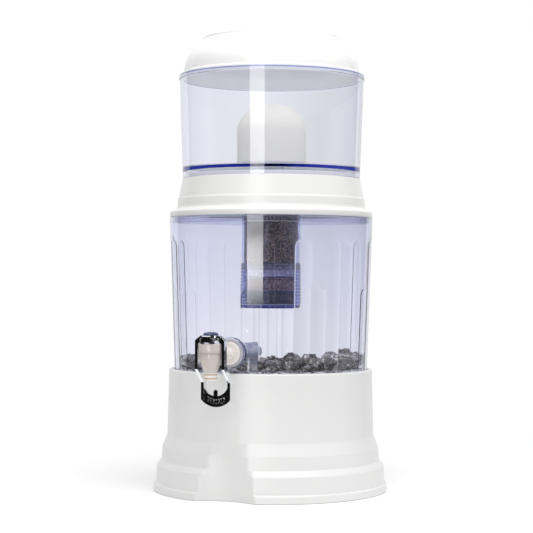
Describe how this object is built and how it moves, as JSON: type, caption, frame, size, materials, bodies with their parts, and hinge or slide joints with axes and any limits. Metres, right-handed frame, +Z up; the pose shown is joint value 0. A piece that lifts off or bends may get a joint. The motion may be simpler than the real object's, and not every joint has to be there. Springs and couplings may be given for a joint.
{
  "type": "gravity water filter",
  "caption": "Bench-top gravity water filter: clear fluted tank on a stepped stand, upper tank with ceramic dome and media cartridge, push-lever tap, lift-off lid.",
  "frame": {"origin": "on the tanks' vertical axis, in the plane the stand rests on", "axes": "+Z up along the tanks' axis, -Y towards the user, where the tap points, +X to the user's right"},
  "size_m": [0.28, 0.3272, 0.545],
  "materials": {
    "white_plastic": "satin",
    "tank_plastic": "gloss",
    "tap_plastic": "satin",
    "lever_chrome": "polished",
    "spring_steel": "satin",
    "grey_silicone": "matte",
    "clear_silicone": "satin",
    "seal_rubber": "matte",
    "fitting_plastic": "satin",
    "tube_plastic": "gloss",
    "filter_ceramic": "matte",
    "lava_stone": "matte",
    "mineral_sand": "matte",
    "carbon_grain": "matte",
    "pale_mineral": "matte",
    "brown_mineral": "matte",
    "dark_mineral": "matte",
    "filter_felt": "matte",
    "cartridge_plastic": "gloss"
  },
  "bodies": {
    "stand": {"base_stand": "white_plastic"},
    "lower_tank": {"lower_tank": "tank_plastic", "mineral_sand": "mineral_sand", "mineral_stones": "lava_stone", "tap_body": "tap_plastic", "tap_bonnet": "tap_plastic", "lever_pin": "spring_steel", "valve_spring": "spring_steel", "spout_tip": "clear_silicone", "tap_washer_outer": "grey_silicone", "tap_washer_inner": "grey_silicone", "tap_nut": "fitting_plastic", "inlet_elbow": "fitting_plastic", "dip_tube": "tube_plastic"},
    "lever": {"tap_lever": "lever_chrome"},
    "valve": {"valve_stem": "lever_chrome", "valve_cup": "clear_silicone"},
    "collar": {"collar": "white_plastic", "collar_seal": "seal_rubber"},
    "upper_tank": {"upper_tank": "tank_plastic", "ceramic_dome": "filter_ceramic", "dome_base": "white_plastic", "dome_gasket": "grey_silicone", "floor_washer": "grey_silicone", "stem_nut": "white_plastic"},
    "cartridge": {"cartridge_cap": "white_plastic", "cartridge_seal": "grey_silicone", "cartridge_housing": "cartridge_plastic", "cartridge_cup": "cartridge_plastic", "outlet_screen": "white_plastic", "filter_pads": "filter_felt", "dark_mineral_bed": "dark_mineral", "brown_mineral_bed": "brown_mineral", "pale_mineral_bed": "pale_mineral", "carbon_bed": "carbon_grain"},
    "lid": {"lid": "white_plastic"}
  },
  "joints": [
    {"name": "tank_lift", "type": "slide", "parent": "stand", "child": "lower_tank", "axis": [0, 0, 1], "range_m": [0, 0.06]},
    {"name": "lever_push", "type": "hinge", "parent": "lower_tank", "child": "lever", "pos_m": [0, -0.183, 0.1844], "axis": [1, 0, 0], "range_deg": [0, 15], "stiffness_Nm_per_rad": 0.8, "springref_deg": -14.32},
    {"name": "valve_lift", "type": "slide", "parent": "lower_tank", "child": "valve", "axis": [0, 0, 1], "range_m": [0, 0.0042], "deforming": ["valve_spring"]},
    {"name": "collar_lift", "type": "slide", "parent": "lower_tank", "child": "collar", "axis": [0, 0, 1], "range_m": [0, 0.13]},
    {"name": "upper_tank_lift", "type": "slide", "parent": "collar", "child": "upper_tank", "axis": [0, 0, 1], "range_m": [0, 0.17]},
    {"name": "cartridge_drop", "type": "slide", "parent": "upper_tank", "child": "cartridge", "axis": [0, 0, -1], "range_m": [0, 0.022]},
    {"name": "lid_lift", "type": "slide", "parent": "upper_tank", "child": "lid", "axis": [0, 0, 1], "range_m": [0, 0.08]}
  ],
  "couplings": [
    {"joint": "valve_lift", "follows": "lever_push", "m_per_rad": 0.0155}
  ]
}
